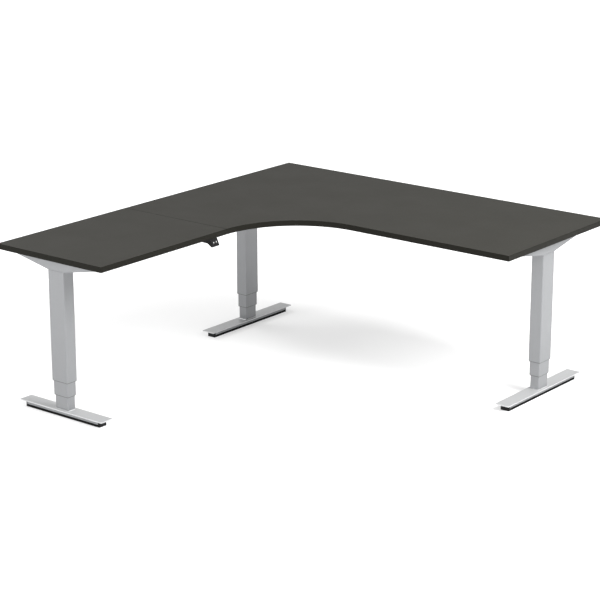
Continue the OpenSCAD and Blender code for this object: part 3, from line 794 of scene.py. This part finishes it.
inlet_low, inlet_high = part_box("power_inlet")
inlet_middle = (inlet_low + inlet_high) / 2
pins = bmesh.new()
for across in (-PIN_STEP, 0, PIN_STEP):
    block(pins, PIN, (inlet_low.x + PIN_IN, inlet_middle.y + across, inlet_middle.z - PIN.z / 2))
finished("inlet_pins_plated", pins, zinc_steel.material, "worktop")

for number, vent_x in ((1, 0.05), (2, 0.19)):
    ribs = bmesh.new()
    for step in range(VENT_RIBS):
        along = vent_x + VENT_STEP * (step - (VENT_RIBS - 1) / 2)
        block(ribs, VENT_RIB, BOX_LOW + Vector((along, VENT_Y, -VENT_RIB.z)))
    finished(f"control_box_ribs_{number}", ribs, black_plastic, "worktop")

# --- Handset -------------------------------------------------------------------------------------
# The handset is a small case moulded in matt black, screwed under the worktop's inner edge. Its
# face leans out past the edge, and has a square pocket for each button.

FACE_TILT = 25.02
FACE_OUT = 0.001
CASE_EDGE = 0.0022
case_low, case_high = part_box("handset_case")
HANDSET_Y = (case_low.y + case_high.y) / 2

case = merged_copy("handset_case")
sides = []
for edge in case.edges:
    on_side = all(abs(abs(v.co.y - HANDSET_Y) - (case_high.y - HANDSET_Y)) < NEAR for v in edge.verts)
    on_top = all(v.co.z > case_high.z - NEAR for v in edge.verts)
    if on_side and not on_top and is_fold(edge, least=0.008):
        sides.append(edge)
round_off(case, sides, radius=CASE_EDGE, segments=4)
finished("handset_case_moulded", case, black_plastic, "worktop", ["handset_case"])

# --- Handset buttons -----------------------------------------------------------------------------
# Two square buttons of dark plastic, softly rounded, stand just proud of the handset's face. Each
# has a plain arrow printed on it in light grey, and is pressed straight into the face.

BUTTON_SIDE = 0.011
BUTTON_PROUD = 0.0012
BUTTON_DEEP = 0.0032
BUTTON_GAP = 0.017
BUTTON_DOWN = 0.017
BUTTON_EDGE = 0.0009
ARROW_R = 0.0034
ARROW_T = 0.0002
ARROW_UP = 0.00005

button_plastic = moulded_plastic("button_plastic", (0.030, 0.030, 0.031), 0.38)
arrow_ink = moulded_plastic("light_printing_ink", (0.72, 0.72, 0.70), 0.5)
face = (Matrix.Translation((INNER_X + FACE_OUT, HANDSET_Y, TOP_LOW.z))
        @ Matrix.Rotation(math.radians(-FACE_TILT), 4, "Y"))

for name, across, points_up in (("up_button", 1, 1), ("down_button", -1, -1)):
    button = bmesh.new()
    middle_y = across * BUTTON_GAP / 2
    block(button, (BUTTON_DEEP, BUTTON_SIDE, BUTTON_SIDE),
          (BUTTON_PROUD - BUTTON_DEEP / 2, middle_y, -BUTTON_DOWN - BUTTON_SIDE / 2))
    round_off(button, list(button.edges), radius=BUTTON_EDGE, segments=3)
    finished(name + "_cap", button, button_plastic, name, [name], face)
    arrow = bmesh.new()
    bmesh.ops.create_cone(arrow, cap_ends=True, segments=3, radius1=ARROW_R, radius2=ARROW_R, depth=ARROW_T)
    turn = Matrix.Rotation(math.pi / 2, 4, "Y") @ Matrix.Rotation(math.pi / 2 * points_up, 4, "Z")
    bmesh.ops.transform(arrow, matrix=turn, verts=arrow.verts)
    bmesh.ops.translate(arrow, vec=(BUTTON_PROUD + ARROW_UP, middle_y, -BUTTON_DOWN), verts=arrow.verts)
    finished(name + "_arrow", arrow, arrow_ink, name, (), face)

# --- Floor ---------------------------------------------------------------------------------------
# A plain white studio floor of matt paper. It glows a little right under the desk, which keeps the
# shadow there light, least in a ring round the feet, which leaves their contact shadows darker, and
# more with distance, so that it runs into the white room with no edge. This glow is painted light.

FLOOR_REACH = 40
GLOW_REACH = 5

floor_white = Finish("white_floor", {"Roughness": 0.9, "Specular IOR Level": 0.0, "Emission Strength": 0.8})
paper = floor_white.noise(waves=0.6, detail=2)
floor_white.drive("Base Color", floor_white.mix(paper, (0.53, 0.53, 0.53), (0.56, 0.56, 0.56)))
scaled = {"Vector": floor_white.place, "Scale": (1 / GLOW_REACH,) * 3}
round_desk = {"Vector": floor_white.node("ShaderNodeMapping", {}, scaled)}
nearness = floor_white.node("ShaderNodeTexGradient", {"gradient_type": "SPHERICAL"}, round_desk)
# Painted light: the glow lightens the shade under the desk, is least in a ring round the feet, and grows
# outwards
glow = floor_white.ramp(nearness, [(0.35, 1.0), (0.72, 0.0), (0.82, 0.0), (0.93, 0.35)])
floor_white.drive("Emission Color", floor_white.mix(glow, (0.58, 0.58, 0.58), (1, 1, 1)))
ground = bmesh.new()
bmesh.ops.create_grid(ground, x_segments=1, y_segments=1, size=FLOOR_REACH)
floor_mesh = bpy.data.meshes.new("floor")
ground.to_mesh(floor_mesh)
ground.free()
floor_mesh.materials.append(floor_white.material)
floor = bpy.data.objects.new("floor", floor_mesh)
bpy.context.scene.collection.objects.link(floor)

# --- Light ---------------------------------------------------------------------------------------
# A room that is white at eye level and greyer overhead. A large soft box stands high on the right,
# a weaker one low in front, and two faint ones fill in from the left and from behind on the right.

WORLD_LEVEL = 1.02
WORLD_ABOVE = 0.5
SOFT_BOX = 3
SOFT_BOX_AWAY = 6
DESK_MIDDLE = Vector((0, 0, 0.35))

world = bpy.data.worlds.new("white_room")
world.use_nodes = True
sky = world.node_tree
towards = sky.nodes.new("ShaderNodeTexCoord")
parts = sky.nodes.new("ShaderNodeSeparateXYZ")
tone = sky.nodes.new("ShaderNodeMapRange")
sky_steps = {"From Min": 0.10, "From Max": 0.32, "To Min": WORLD_LEVEL, "To Max": WORLD_ABOVE}
for socket_name, value in sky_steps.items():
    tone.inputs[socket_name].default_value = value
sky.links.new(towards.outputs["Generated"], parts.inputs["Vector"])
sky.links.new(parts.outputs["Z"], tone.inputs["Value"])
sky.links.new(tone.outputs["Result"], sky.nodes["Background"].inputs["Strength"])
sky.nodes["Background"].inputs["Color"].default_value = (1, 1, 1, 1)
bpy.context.scene.world = world


def soft_box(name, azimuth, elevation, power):
    """A soft box that faces the desk, that many degrees round from straight in front, and up."""
    turn, lift = math.radians(azimuth), math.radians(elevation)
    away = Vector((math.sin(turn) * math.cos(lift), -math.cos(turn) * math.cos(lift), math.sin(lift)))
    light = bpy.data.lights.new(name, "AREA")
    light.size = SOFT_BOX
    light.energy = power
    lamp = bpy.data.objects.new(name, light)
    lamp.location = SOFT_BOX_AWAY * away + DESK_MIDDLE
    lamp.rotation_euler = away.to_track_quat("Z", "Y").to_euler()
    bpy.context.scene.collection.objects.link(lamp)


soft_box("right_soft_box", 90, 42, 640)
soft_box("front_soft_box", 345, 20, 230)
soft_box("left_fill", 270, 45, 80)
soft_box("back_fill", 135, 45, 70)

# --- Camera --------------------------------------------------------------------------------------
# A long lens, nearly nine metres off, looks down a little into the desk's open inner side, from
# between the ends of its two wings.

lens = bpy.data.cameras.new("main_camera")
lens.sensor_width = 36
lens.lens = 119.0
lens.shift_x = -0.0095
lens.clip_end = 200
camera = bpy.data.objects.new("main_camera", lens)
camera.location = (5.184, -6.571, 2.933)
camera.rotation_euler = (math.radians(90 - 16.75), 0, math.radians(38.37))
bpy.context.scene.collection.objects.link(camera)
bpy.context.scene.camera = camera
bpy.context.scene.view_settings.view_transform = "Standard"
